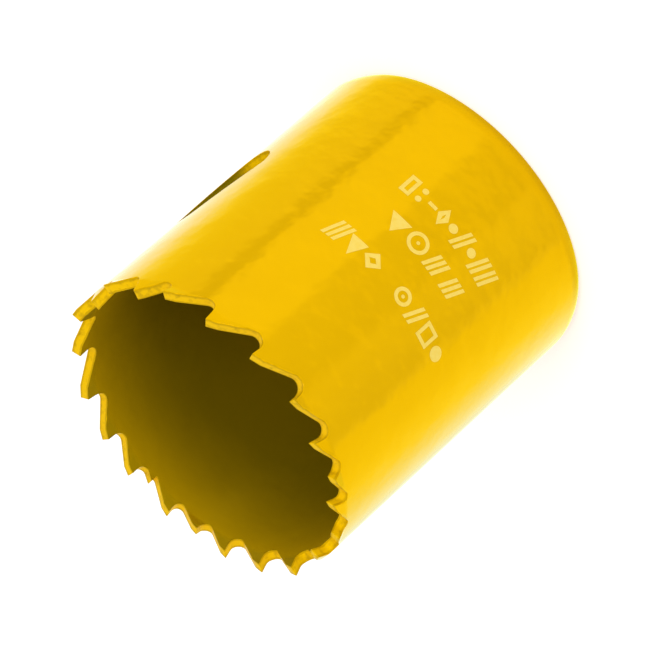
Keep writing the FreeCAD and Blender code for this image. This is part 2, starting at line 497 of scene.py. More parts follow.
def flatWall():
    teeth = layOutTeeth()
    turnShift = Vector((stripLength, 0))
    edge = roundCorners(toothedEdge(teeth), turnShift)
    cut = gulletPoints(teeth[wall["cutBetween"]]["edge"], teeth[wall["cutBetween"] + 1]["pitch"])["up"][0]
    first = min(range(len(edge)), key=lambda number: (edge[number] - cut).length)
    edge = edge[first:] + [point + turnShift for point in edge[:first]]
    sides = metalSide(edge, turnShift)
    start = edge[0].x

    slot = slotOutline()
    slotSides = metalSide(slot, Vector((0, 0)))
    slotMiddle = -math.radians(strip["seamAngle"]) * strip["outer"]
    while slotMiddle < start:
        slotMiddle += stripLength

    def slotPoint(number, inset, reach):
        across, level = slot[number] + slotSides[number][0] * inset
        return (slotMiddle + strip["outer"] * math.asin(across / reach), reach, level)

    def edgePoint(number, inset, reach):
        direction, stretch = sides[number]
        along, level = edge[number] + direction * inset * stretch
        return (along, reach, level)

    steps = edgeSteps(strip["outer"], stripInner)
    sheet = Sheet()
    for placed, directions, outline in ((edgePoint, sides, edge), (slotPoint, slotSides, slot)):
        rows = []
        normals = []
        for inset, reach, sideways, outward in steps:
            rows.append([placed(number, inset, reach) for number in range(len(outline))])
            normals.append([(-side[0].x * sideways, outward, -side[0].y * sideways) for side in directions])
        if outline is edge:
            for row, normal in zip(rows, normals):
                row.append((row[0][0] + stripLength, row[0][1], row[0][2]))
                normal.append(normal[0])
        sheet.addBand(rows, normals, outline is slot)

    columns = [start + stripLength * number / wall["columns"] for number in range(wall["columns"] + 1)]
    for reach, low, step, outward in (
        (strip["outer"], wall["bandTop"], 0, 1),
        (stripInner, wall["innerStart"], len(steps) - 1, -1),
    ):
        rowCount = round((wall["toothRows"][0] - low) / wall["rowStep"])
        heights = [low + (wall["toothRows"][0] - low) * number / rowCount for number in range(1, rowCount)]
        heights += list(wall["toothRows"])
        heights += [bendHeight - bendSoftness, bendHeight, bendHeight + bendSoftness]
        heights += [bendHeight + share * (height - bendHeight) for share in wall["bentRows"]]
        inset = steps[step][0]
        top = [edgePoint(number, inset, reach) for number in range(len(edge))]
        top = [(along, level) for along, across, level in top]
        top.append((top[0][0] + stripLength, top[0][1]))
        ends = [level for level in heights if level < top[0][1] - finish["clearance"]]
        boundary = [(along, low) for along in columns]
        boundary += [(columns[-1], level) for level in ends]
        boundary += top[::-1]
        boundary += [(columns[0], level) for level in ends[::-1]]
        hole = [slotPoint(number, inset, reach) for number in range(len(slot))]
        hole = [(along, level) for along, across, level in hole]
        loose = [(along, level) for along in columns[1:-1] for level in heights]
        if outward > 0:
            loose += besideEdge(edgePoint, sides, wall["edgeReach"], reach)
            loose += besideEdge(slotPoint, slotSides, wall["edgeReach"], reach)
        corners, triangles = fillSheet([boundary, hole], loose)
        sheet.addFilled([(along, reach, level) for along, level in corners], (0, outward, 0), triangles)

    profile = crownProfile()
    facing = [Vector((1, 0))] + profileFacing(profile)[1:-1] + [Vector((-1, 0))]
    rows = [[(along, point.x, point.y) for along in columns] for point in profile]
    normals = [[(0, direction.x, direction.y)] * len(columns) for direction in facing]
    sheet.addBand(rows, normals, False)
    made = sheet.makeObject("rolled_wall", finish["merge"])

    points = np.array([vertex.co for vertex in made.data.vertices]) / mm
    leans = toothLeans(points, teeth)
    hole = [slotPoint(number, 0, strip["outer"])[::2] for number in range(len(slot))]
    gap = distanceTo(points[:, ::2], [edge + [edge[0] + turnShift]], False)
    gap = np.minimum(gap, distanceTo(points[:, ::2], [hole]))
    paintedShade, beside = wallPaintPlaces(points, leans, slot, gap)
    keepValues(made, "lean", leans)
    keepValues(made, "inside", paintedShade)
    keepValues(made, "edge", beside)
    return made


# Geometry Nodes: helpers, and the tree that rolls a flat sheet round the axis


def newTree(name, inputs):
    tree = bpy.data.node_groups.new(name, "GeometryNodeTree")
    tree.interface.new_socket("Geometry", in_out="INPUT", socket_type="NodeSocketGeometry")
    for label, kind, value in inputs:
        socket = tree.interface.new_socket(label, in_out="INPUT", socket_type="NodeSocket" + kind)
        if value is not None:
            socket.default_value = value
    tree.interface.new_socket("Geometry", in_out="OUTPUT", socket_type="NodeSocketGeometry")
    return tree, tree.nodes.new("NodeGroupInput"), tree.nodes.new("NodeGroupOutput")


def calculator(tree):
    # short forms for the maths nodes of one tree
    def calculate(operation, first, second=None, third=None):
        node = tree.nodes.new("ShaderNodeMath")
        node.operation = operation
        for socket, value in zip(node.inputs, (first, second, third)):
            if isinstance(value, bpy.types.NodeSocket):
                tree.links.new(value, socket)
            elif value is not None:
                socket.default_value = value
        return node.outputs[0]

    return calculate


def endTree(tree, geometry, inputs, outputs):
    realize = tree.nodes.new("GeometryNodeRealizeInstances")
    paint = tree.nodes.new("GeometryNodeSetMaterial")
    tree.links.new(geometry, realize.inputs["Geometry"])
    tree.links.new(realize.outputs["Geometry"], paint.inputs["Geometry"])
    tree.links.new(inputs.outputs["Material"], paint.inputs["Material"])
    tree.links.new(paint.outputs["Geometry"], outputs.inputs["Geometry"])


def makeRollTree():
    tree, inputs, outputs = newTree("roll the strip", [
        ("Outer Radius", "Float", 0.02),
        ("Seam Angle", "Float", 0.0),
        ("Set", "Float", 0.0),
        ("Bend Height", "Float", 0.04),
        ("Bend Softness", "Float", 0.0003),
        ("Height", "Float", 0.044),
        ("Material", "Material", None),
    ])
    calculate = calculator(tree)
    position = tree.nodes.new("GeometryNodeInputPosition")
    split = tree.nodes.new("ShaderNodeSeparateXYZ")
    tree.links.new(position.outputs[0], split.inputs[0])
    along, reach, level = split.outputs
    lean = tree.nodes.new("GeometryNodeInputNamedAttribute")
    lean.data_type = "FLOAT"
    lean.inputs["Name"].default_value = "lean"
    above = calculate("SUBTRACT", level, inputs.outputs["Bend Height"])
    bent = calculate("SMOOTH_MAX", above, 0.0, inputs.outputs["Bend Softness"])
    span = calculate("SUBTRACT", inputs.outputs["Height"], inputs.outputs["Bend Height"])
    share = calculate("DIVIDE", bent, span)
    moved = calculate("MULTIPLY", calculate("MULTIPLY", share, inputs.outputs["Set"]), lean.outputs[0])
    radius = calculate("ADD", reach, moved)
    angle = calculate(
        "ADD", calculate("DIVIDE", along, inputs.outputs["Outer Radius"]), inputs.outputs["Seam Angle"]
    )
    place = tree.nodes.new("ShaderNodeCombineXYZ")
    tree.links.new(calculate("MULTIPLY", radius, calculate("COSINE", angle)), place.inputs["X"])
    tree.links.new(calculate("MULTIPLY", radius, calculate("SINE", angle)), place.inputs["Y"])
    tree.links.new(level, place.inputs["Z"])
    move = tree.nodes.new("GeometryNodeSetPosition")
    tree.links.new(inputs.outputs["Geometry"], move.inputs["Geometry"])
    tree.links.new(place.outputs[0], move.inputs["Position"])
    endTree(tree, move.outputs["Geometry"], inputs, outputs)
    return tree


def runTree(made, tree, values):
    # the tree's result becomes the object's own plain mesh
    modifier = made.modifiers.new(tree.name, "NODES")
    modifier.node_group = tree
    for item in tree.interface.items_tree:
        if item.in_out == "INPUT" and item.name in values:
            modifier[item.identifier] = values[item.name]
    evaluated = made.evaluated_get(bpy.context.evaluated_depsgraph_get())
    mesh = bpy.data.meshes.new_from_object(evaluated)
    made.modifiers.remove(modifier)
    old = made.data
    made.data = mesh
    bpy.data.meshes.remove(old)
    mesh.name = made.name


def rollSheet(made, tree, material):
    count = len(made.data.vertices)
    flat = np.zeros(count * 3)
    made.data.vertices.foreach_get("co", flat)
    along, reach, level = flat.reshape(-1, 3).T / mm
    shading = np.zeros(count * 3, np.float32)
    made.data.attributes["shading"].data.foreach_get("vector", shading)
    sideways, outward, upward = shading.reshape(-1, 3).T
    lean = np.zeros(count, np.float32)
    if "lean" in made.data.attributes:
        made.data.attributes["lean"].data.foreach_get("value", lean)
    # the tree's soft maximum, and its slope
    above = level - bendHeight
    near = np.maximum(bendSoftness - np.abs(above), 0) / bendSoftness
    rise = (above > 0) - np.sign(above) * near**2 / 2
    bent = np.maximum(above, 0) + near**3 * bendSoftness / 6
    slope = lean * strip["set"] / (height - bendHeight)
    angle = math.radians(strip["seamAngle"]) + along / strip["outer"]
    sideways = sideways * strip["outer"] / (reach + slope * bent)
    upward = upward - slope * rise * outward
    normals = np.stack([
        outward * np.cos(angle) - sideways * np.sin(angle),
        outward * np.sin(angle) + sideways * np.cos(angle),
        upward,
    ], axis=1)
    runTree(made, tree, {
        "Outer Radius": strip["outer"] * mm,
        "Seam Angle": math.radians(strip["seamAngle"]),
        "Set": strip["set"] * mm,
        "Bend Height": bendHeight * mm,
        "Bend Softness": bendSoftness * mm,
        "Height": height * mm,
        "Material": material,
    })
    made.data.attributes["shading"].data.foreach_set("vector", normals.astype(np.float32).ravel())


def closeMesh(made, merge):
    # joins the seams, turns the faces outwards and hands the kept shading directions to the mesh
    mesh = made.data
    built = bmesh.new()
    built.from_mesh(mesh)
    bmesh.ops.remove_doubles(built, verts=built.verts, dist=merge * mm)
    bmesh.ops.dissolve_degenerate(built, edges=built.edges, dist=1e-8)
    bmesh.ops.recalc_face_normals(built, faces=built.faces)
    openEdges = sum(1 for edge in built.edges if len(edge.link_faces) != 2)
    volume = built.calc_volume() / mm**3
    built.to_mesh(mesh)
    built.free()
    mesh.shade_smooth()
    normals = np.zeros(len(mesh.vertices) * 3, np.float32)
    mesh.attributes["shading"].data.foreach_get("vector", normals)
    normals = normals.reshape(-1, 3)
    normals /= np.linalg.norm(normals, axis=1)[:, None]
    mesh.normals_split_custom_set_from_vertices([tuple(map(float, normal)) for normal in normals])
    mesh.attributes.remove(mesh.attributes["shading"])
    if "lean" in mesh.attributes:
        mesh.attributes.remove(mesh.attributes["lean"])
    print(made.name, len(mesh.polygons), "faces,", openEdges, "open edges,", round(volume, 1), "mm3")


rollTree = makeRollTree()


# The end plate: a disc with a tapped hole and drive-pin holes

bore = mounts["arbor_thread"]["dims"]
pins = mounts["drive_pins"]["dims"]
plate = {
    "radius": round(plateBox[1].x / mm, 2) - 0.005,  # a hair inside the wall
    "thickness": round(plateBox[1].z / mm, 2),
    "groove": 0.3,
    "boreRadius": bore["r_mm"],
    "boreChamfer": 0.6,
    "threadPitch": 25.4 / 18,
    "threadFlank": math.radians(30),
    "threadSteps": 16,
    "threadShade": 0.7,  # how much of the inside's painted shade the thread takes
    "slopeStep": 0.02,  # step over which the thread's slope is measured
    "lip": 0.05,  # rounding where the thread's chamfers meet the faces
    "lipTilt": 0.5,
    "boreColumns": 96,
    "pinRadius": pins["hole_r_mm"],
    "pinCircle": pins["pcd_mm"] / 2,
    "pinCount": pins["count"],
    "pinChamfer": 0.3,
    "holeColumns": 48,
    "rimColumns": 120,
    "soften": 0.06,
    "gridStep": 1.6,
}


def softenProfile(points, radius):
    # each inner corner of an open profile becomes three points
    softened = [points[0]]
    for before, point, after in zip(points[:-2], points[1:-1], points[2:]):
        begin = point + (before - point).normalized() * radius
        end = point + (after - point).normalized() * radius
        softened += [begin, begin * 0.25 + point * 0.5 + end * 0.25, end]
    softened.append(points[-1])
    return softened


def ringPoints(middle, radius, columns):
    step = 2 * math.pi / columns
    return [
        Vector((middle[0] + radius * math.cos(number * step), middle[1] + radius * math.sin(number * step)))
        for number in range(columns)
    ]


def turnedRows(middle, radius, profile, columns):
    # the profile, as distances past the radius and heights, turned round an axis
    outwards = ringPoints((0, 0), 1, columns)
    rows = []
    normals = []
    for point, direction in zip(profile, profileFacing(profile)):
        rows.append([(x, y, point.y) for x, y in ringPoints(middle, radius + point.x, columns)])
        normals.append([(-x * direction.x, -y * direction.x, -direction.y) for x, y in outwards])
    return rows, normals


def holeRows(middle, radius, chamfer, columns):
    # from the top face down to the bottom face
    thickness = plate["thickness"]
    far = chamfer + 2 * plate["soften"]
    profile = softenProfile([
        Vector((far, thickness)), Vector((chamfer, thickness)), Vector((0, thickness - chamfer)),
        Vector((0, chamfer)), Vector((chamfer, 0)), Vector((far, 0)),
    ], plate["soften"])
    return turnedRows(middle, radius, profile, columns)


def threadReach(turned):
    # distance from the axis by the part of a pitch: root, flank, crest, flank
    root, flank, crest = 1 / 8, 5 / 16, 1 / 4
    share = turned % 1
    depth = flank / math.tan(plate["threadFlank"]) * plate["threadPitch"]
    if share < root:
        fall = 0
    elif share < root + flank:
        fall = (share - root) / flank
    elif share < root + flank + crest:
        fall = 1
    else:
        fall = (1 - share) / flank
    return plate["boreRadius"] - depth * fall


def boreReach(level, turned):
    cone = plate["boreRadius"] + plate["boreChamfer"] - min(level, plate["thickness"] - level)
    return max(threadReach(turned), cone)


def addBore(sheet):
    # the thread as rows that climb one pitch a turn, held between the faces, and a lip at each end
    pitch = plate["threadPitch"]
    columns = plate["boreColumns"]
    lip = plate["lip"]
    nudge = plate["slopeStep"]
    mouth = plate["boreRadius"] + plate["boreChamfer"]
    steps = plate["threadSteps"]
    count = math.ceil((plate["thickness"] / pitch + 1) * steps) + 1
    rows = []
    normals = []
    for row in range(-steps, count - steps):
        points = []
        directions = []
        for column in range(columns + 1):
            angle = 2 * math.pi * column / columns
            level = (row / steps + column / columns) * pitch
            held = min(max(level, lip), plate["thickness"] - lip)
            phase = held / pitch - column / columns
            reach = boreReach(held, phase)
            higher = boreReach(held + nudge, phase + nudge / pitch)
            lower = boreReach(held - nudge, phase - nudge / pitch)
            climb = (higher - lower) / (2 * nudge)
            around = (boreReach(held, phase - nudge) - boreReach(held, phase + nudge)) / (4 * math.pi * nudge)
            out = Vector((math.cos(angle), math.sin(angle), 0))
            on = Vector((-math.sin(angle), math.cos(angle), 0))
            points.append((reach * out.x, reach * out.y, held))
            directions.append(tuple((Vector((0, 0, climb)) - out + on * around / reach).normalized()))
        rows.append(points)
        normals.append(directions)
    sheet.addBand(rows[::-1], normals[::-1], False)
    far = mouth + 2 * plate["soften"]
    for level, upward in ((plate["thickness"], 1), (0, -1)):
        edge = ringPoints((0, 0), mouth - lip, columns)
        lipRing = [(x, y, level - upward * lip) for x, y in edge]
        ring = [(x, y, level) for x, y in ringPoints((0, 0), mouth + lip, columns)]
        wide = [(x, y, level) for x, y in ringPoints((0, 0), far + lip, columns)]
        tilts = (1, plate["lipTilt"], 0)
        normals = [[(-x / mouth * tilt, -y / mouth * tilt, upward) for x, y in edge] for tilt in tilts]
        sheet.addBand([lipRing, ring, wide], normals, True)
    return [Vector(point[:2]) for point in wide]


def makePlate():
    sheet = Sheet()
    mouth = addBore(sheet)
    radius = plate["radius"]
    thickness = plate["thickness"]
    outlines = [mouth]
    for number in range(plate["pinCount"]):
        angle = 2 * math.pi * number / plate["pinCount"]
        middle = (plate["pinCircle"] * math.cos(angle), plate["pinCircle"] * math.sin(angle))
        rows, normals = holeRows(middle, plate["pinRadius"], plate["pinChamfer"], plate["holeColumns"])
        sheet.addBand(rows, normals, True)
        outlines.append([Vector(point[:2]) for point in rows[0]])
    groove = plate["groove"]
    inset = 2 * plate["soften"]
    profile = softenProfile([
        Vector((-groove - inset, 0)), Vector((-groove, 0)), Vector((0, groove)), Vector((0, thickness)),
        Vector((-inset, thickness)),
    ], plate["soften"])
    rows, normals = turnedRows((0, 0), radius, profile, plate["rimColumns"])
    sheet.addBand(rows, normals, True)
    count = int(radius / plate["gridStep"])
    loose = [
        (plate["gridStep"] * (x + 0.5 * (y % 2)), plate["gridStep"] * y)
        for x in range(-count, count + 1)
        for y in range(-count, count + 1)
    ]
    for level, upward, rim in ((thickness, 1, rows[-1]), (0, -1, rows[0])):
        corners, triangles = fillSheet(outlines + [[Vector(point[:2]) for point in rim]], loose)
        sheet.addFilled([(x, y, level) for x, y in corners], (0, 0, upward), triangles)
    made = sheet.makeObject("tapped_end_plate", finish["merge"])
    points = np.array([vertex.co for vertex in made.data.vertices]) / mm
    reach = np.hypot(points[:, 0], points[:, 1])
    top = thickness - finish["sameLevel"]
    # the top face inside the cup and the thread take the inside's painted shade
    paintedShade = np.where(points[:, 2] > top, 1.0, 0.0)
    threaded = (reach < plate["boreRadius"] + plate["boreChamfer"]) & (points[:, 2] > plate["boreChamfer"])
    paintedShade[threaded & (points[:, 2] < top)] = plate["threadShade"]
    keepValues(made, "inside", paintedShade)
    return made


# The weld round the back, dressed flush, with the ripples that the torch left

bead = {
    "radius": stripInner,
    "halfWidth": 0.27,
    "halfDepth": 0.12,
    "ripple": 0.03,
    "ripples": 150,
    "bow": 1.6,  # how far each ripple is bent back at its sides
    "columns": 900,
    "sides": 12,
}


def makeBeadTree():
    tree, inputs, outputs = newTree("lay the weld", [
        ("Radius", "Float", 0.018),
        ("Half Width", "Float", 0.0003),
        ("Half Depth", "Float", 0.0001),
        ("Ripple", "Float", 0.00003),
        ("Ripples", "Int", 100),
        ("Bow", "Float", 1.0),
        ("Columns", "Int", 600),
        ("Sides", "Int", 12),
        ("Material", "Material", None),
    ])
    calculate = calculator(tree)
    path = tree.nodes.new("GeometryNodeCurvePrimitiveCircle")
    tree.links.new(inputs.outputs["Columns"], path.inputs["Resolution"])
    tree.links.new(inputs.outputs["Radius"], path.inputs["Radius"])
    section = tree.nodes.new("GeometryNodeCurvePrimitiveCircle")
    section.inputs["Radius"].default_value = 1
    tree.links.new(inputs.outputs["Sides"], section.inputs["Resolution"])
    flatten = tree.nodes.new("GeometryNodeTransform")
    size = tree.nodes.new("ShaderNodeCombineXYZ")
    tree.links.new(inputs.outputs["Half Width"], size.inputs["X"])
    tree.links.new(inputs.outputs["Half Depth"], size.inputs["Y"])
    size.inputs["Z"].default_value = 1
    tree.links.new(section.outputs["Curve"], flatten.inputs["Geometry"])
    tree.links.new(size.outputs[0], flatten.inputs["Scale"])
    sweep = tree.nodes.new("GeometryNodeCurveToMesh")
    tree.links.new(path.outputs["Curve"], sweep.inputs["Curve"])
    tree.links.new(flatten.outputs["Geometry"], sweep.inputs["Profile Curve"])
    position = tree.nodes.new("GeometryNodeInputPosition")
    split = tree.nodes.new("ShaderNodeSeparateXYZ")
    tree.links.new(position.outputs[0], split.inputs[0])
    x, y, z = split.outputs
    angle = calculate("ARCTAN2", y, x)
    reach = calculate("SQRT", calculate("ADD", calculate("MULTIPLY", x, x), calculate("MULTIPLY", y, y)))
    aside = calculate("SUBTRACT", reach, inputs.outputs["Radius"])
    aside = calculate("DIVIDE", aside, inputs.outputs["Half Width"])
    bow = calculate("MULTIPLY", calculate("MULTIPLY", aside, aside), inputs.outputs["Bow"])
    wave = calculate("SINE", calculate("ADD", calculate("MULTIPLY", angle, inputs.outputs["Ripples"]), bow))
    lift = calculate("MULTIPLY", calculate("MULTIPLY_ADD", wave, 0.5, 0.5), inputs.outputs["Ripple"])
    under = calculate("LESS_THAN", z, 0.0)
    raised = calculate("ADD", calculate("MULTIPLY", lift, under), inputs.outputs["Half Depth"])
    offset = tree.nodes.new("ShaderNodeCombineXYZ")
    tree.links.new(raised, offset.inputs["Z"])
    move = tree.nodes.new("GeometryNodeSetPosition")
    tree.links.new(sweep.outputs["Mesh"], move.inputs["Geometry"])
    tree.links.new(offset.outputs[0], move.inputs["Offset"])
    endTree(tree, move.outputs["Geometry"], inputs, outputs)
    return tree


def makeBead(material):
    made = bpy.data.objects.new("back_weld", bpy.data.meshes.new("back_weld"))
    scene.collection.objects.link(made)
    runTree(made, makeBeadTree(), {
        "Radius": bead["radius"] * mm,
        "Half Width": bead["halfWidth"] * mm,
        "Half Depth": bead["halfDepth"] * mm,
        "Ripple": bead["ripple"] * mm,
        "Ripples": bead["ripples"],
        "Bow": bead["bow"],
        "Columns": bead["columns"],
        "Sides": bead["sides"],
        "Material": material,
    })
    built = bmesh.new()
    built.from_mesh(made.data)
    bmesh.ops.recalc_face_normals(built, faces=built.faces)
    built.to_mesh(made.data)
    built.free()
    made.data.shade_smooth()
    return made


# Printed marks: plain shapes in three rows, laid flat and rolled with the strip

marks = {
    "ink": 0.012,  # how far the ink stands proud
    "root": 0.01,  # how deep it is rooted in the paint
    "merge": 0.001,  # points this close become one
    "weight": 0.46,  # width of a stroke
    "fill": 0.4,  # spacing of the points of a shape
    "fillReach": 2.5,  # how far from a shape's middle points may lie inside it
    "widthShare": 0.88,  # width of a shape in its place along the row
    "slant": 0.35,
    "barShare": 0.9,  # height of a slanted bar in its row
    "facing": -80.5,  # degrees from +X to the middle of the print
    "rows": (
        {"level": 24.4, "tall": 3.2, "start": 23.5, "end": -37.0,
         "shapes": ("bars", "triangle", "diamond", "gap", "target", "pair", "frame", "disc")},
        {"level": 18.5, "tall": 2.9, "start": 13.0, "end": -24.0,
         "shapes": ("triangle", "target", "bars", "bars")},
        {"level": 13.75, "tall": 3.4, "start": 17.5, "end": -27.5,
         "shapes": ("frame", "dots", "dash", "diamond", "disc", "pair", "disc", "pair", "pair")},
    ),
}


def closedShape(corners):
    # the corners' outline, cut into short steps that can follow the wall's curve
    points = []
    for corner, following in zip(corners, corners[1:] + corners[:1]):
        steps = math.ceil((following - corner).length / marks["fill"])
        points += [corner.lerp(following, step / steps) for step in range(steps)]
    return points


def polygon(sides, width, tall, turned=0.0, level=0.0):
    corners = []
    for number in range(sides):
        angle = turned - 2 * math.pi * number / sides
        corners.append(Vector((width / 2 * math.cos(angle), level + tall / 2 * math.sin(angle))))
    return closedShape(corners)


def slantedBar(middle, width, tall):
    lean = marks["slant"] * tall / 2
    return closedShape([
        Vector((middle - lean - width / 2, -tall / 2)), Vector((middle + lean - width / 2, tall / 2)),
        Vector((middle + lean + width / 2, tall / 2)), Vector((middle - lean + width / 2, -tall / 2)),
    ])


def shapeOutlines(kind, width, tall):
    # closed outlines round the shape's middle, the last ones its holes
    weight = marks["weight"]
    side = min(width, tall)
    if kind == "disc":
        return [polygon(20, 0.8 * side, 0.8 * side)]
    if kind == "dots":
        return [polygon(14, 1.7 * weight, 1.7 * weight, 0, level) for level in (-tall / 5, tall / 5)]
    if kind == "target":
        return [
            polygon(28, side, side), polygon(24, side - 2 * weight, side - 2 * weight),
            polygon(12, weight, weight),
        ]
    if kind == "triangle":
        return [polygon(3, 1.2 * side, 1.1 * tall, math.pi / 2)]
    if kind == "diamond":
        outer = polygon(4, 1.1 * side, 0.8 * tall)
        return [outer, polygon(4, 1.1 * side - 3 * weight, 0.8 * tall - 3.6 * weight)]
    if kind == "frame":
        outer = polygon(4, 1.35 * side, 1.1 * tall, math.pi / 4)
        return [outer, polygon(4, 1.35 * side - 2.8 * weight, 1.1 * tall - 2.8 * weight, math.pi / 4)]
    if kind == "dash":
        return [closedShape([
            Vector((-0.4 * width, -weight / 2)), Vector((-0.4 * width, weight / 2)),
            Vector((0.4 * width, weight / 2)), Vector((0.4 * width, -weight / 2)),
        ])]
    bar = marks["barShare"] * tall
    count = 3 if kind == "bars" else 2
    gap = max((width - weight - marks["slant"] * bar) / (count - 1), 1.6 * weight)
    return [slantedBar((number - (count - 1) / 2) * gap, weight, bar) for number in range(count)]


def flatMarks():
    sheet = Sheet()
    outer = strip["outer"]
    faces = ((outer + marks["ink"], (0, 1, 0)), (outer - marks["root"], (0, -1, 0)))
    steps = int(marks["fillReach"] / marks["fill"])
    for row in marks["rows"]:
        span = math.radians(row["start"] - row["end"]) * outer
        width = span / len(row["shapes"])
        first = math.radians(marks["facing"] + row["start"] - strip["seamAngle"]) * outer
        for number, kind in enumerate(row["shapes"]):
            if kind == "gap":
                continue
            middle = Vector((first - width * (number + 0.5), row["level"]))
            outlines = shapeOutlines(kind, marks["widthShare"] * width, row["tall"])
            outlines = [[middle + point for point in outline] for outline in outlines]
            loose = [
                tuple(middle + marks["fill"] * Vector((x, y)))
                for x in range(-steps, steps + 1)
                for y in range(-steps, steps + 1)
            ]
            corners, triangles = fillSheet(outlines, loose)
            for reach, normal in faces:
                sheet.addFilled([(x, reach, z) for x, z in corners], normal, triangles)
            for outline in outlines:
                rows = [[(x, reach, z) for x, z in outline] for reach, normal in faces]
                sheet.addBand(rows, [[normal] * len(outline) for reach, normal in faces], True)
    return sheet.makeObject("printed_marks", marks["merge"])


# Materials

colours = {
    "paint": (0.87, 0.492, 0.0005),
    "paintPatch": (0.8439, 0.47232, 0.0005),
    # painted shade inside the cup, near its mouth and deep down
    "mouthPaintedShade": (0.6, 0.372, 0.001),
    "deepPaintedShade": (0.205, 0.142, 0.001),
    "ink": (1.0, 0.74, 0.14),
    "thinInk": (0.97, 0.66, 0.06),
}

# each piece's paint: its orange peel, and the kept attributes that it reads
paints = {
    "wall": {"peelScale": 330.0, "peelDepth": 0.00012, "reads": ("inside", "edge")},
    "plate": {"peelScale": 330.0, "peelDepth": 0.00006, "reads": ("inside",)},
    "weld": {"peelScale": 2200.0, "peelDepth": 0.00002, "reads": ()},
}
paintPatchScale = 180.0
paintFinish = {
    "Roughness": 0.1,
    "Coat Weight": 1.0,
    "Metallic": 0.1,
    "IOR": 1.7,
    "Specular Tint": (1.0, 0.56, 0.0, 1),
    "Coat IOR": 1.15,
    "Coat Roughness": 0.05,
}

ink = {"patchScale": 1800.0, "patches": 0.8, "peelScale": 2500.0, "peelDepth": 0.000002}
inkFinish = {"Roughness": 0.45, "Specular IOR Level": 0.3}

# across a cut edge: millimetres from where the darker lines begin, and how bright the paint is there
edgeLines = (
    (0.0, 1.0), (0.06, 1.0), (0.14, 0.96), (0.28, 1.03), (0.36, 0.9), (0.46, 0.68), (0.58, 0.72),
    (0.72, 0.93), (0.85, 1.0), (1.36, 1.0), (1.46, 0.7), (1.6, 0.66), (1.68, 1.0),
)


def newMaterial(name, values):
    # a material whose shader has these values on its own sockets
    material = bpy.data.materials.new(name)
    material.use_nodes = True
    shader = material.node_tree.nodes["Principled BSDF"]
    for label, value in values.items():
        shader.inputs[label].default_value = value
    return material, shader


def shaderGroup(name, inputs, outputs):
    group = bpy.data.node_groups.new(name, "ShaderNodeTree")
    for label, kind, value in inputs:
        socket = group.interface.new_socket(label, in_out="INPUT", socket_type="NodeSocket" + kind)
        if value is not None:
            socket.default_value = value
    for label, kind in outputs:
        group.interface.new_socket(label, in_out="OUTPUT", socket_type="NodeSocket" + kind)
    return group, group.nodes.new("NodeGroupInput").outputs, group.nodes.new("NodeGroupOutput").inputs


def mixColours(tree, share, first, second, blend="MIX"):
    node = tree.nodes.new("ShaderNodeMix")
    node.data_type = "RGBA"
    node.blend_type = blend
    for socket, value in zip((node.inputs[0], node.inputs[6], node.inputs[7]), (share, first, second)):
        if isinstance(value, bpy.types.NodeSocket):
            tree.links.new(value, socket)
        else:
            socket.default_value = value
    return node.outputs[2]


def blendValues(calculate, share, first, second):
    return calculate("MULTIPLY_ADD", share, calculate("SUBTRACT", second, first), first)


def noiseIn(tree, coordinates, scale, detail=2.0):
    noise = tree.nodes.new("ShaderNodeTexNoise")
    noise.inputs["Detail"].default_value = detail
    tree.links.new(coordinates, noise.inputs["Vector"])
    tree.links.new(scale, noise.inputs["Scale"])
    return noise.outputs["Fac"]


def makePeelGroup():
    # the soft unevenness of sprayed paint
    group, given, result = shaderGroup(
        "orange peel",
        [("Coordinates", "Vector", None), ("Scale", "Float", 700.0), ("Depth", "Float", 0.000004)],
        [("Normal", "Vector")],
    )
    bump = group.nodes.new("ShaderNodeBump")
    group.links.new(noiseIn(group, given["Coordinates"], given["Scale"]), bump.inputs["Height"])
    group.links.new(given["Depth"], bump.inputs["Distance"])
    group.links.new(bump.outputs["Normal"], result["Normal"])
    return group


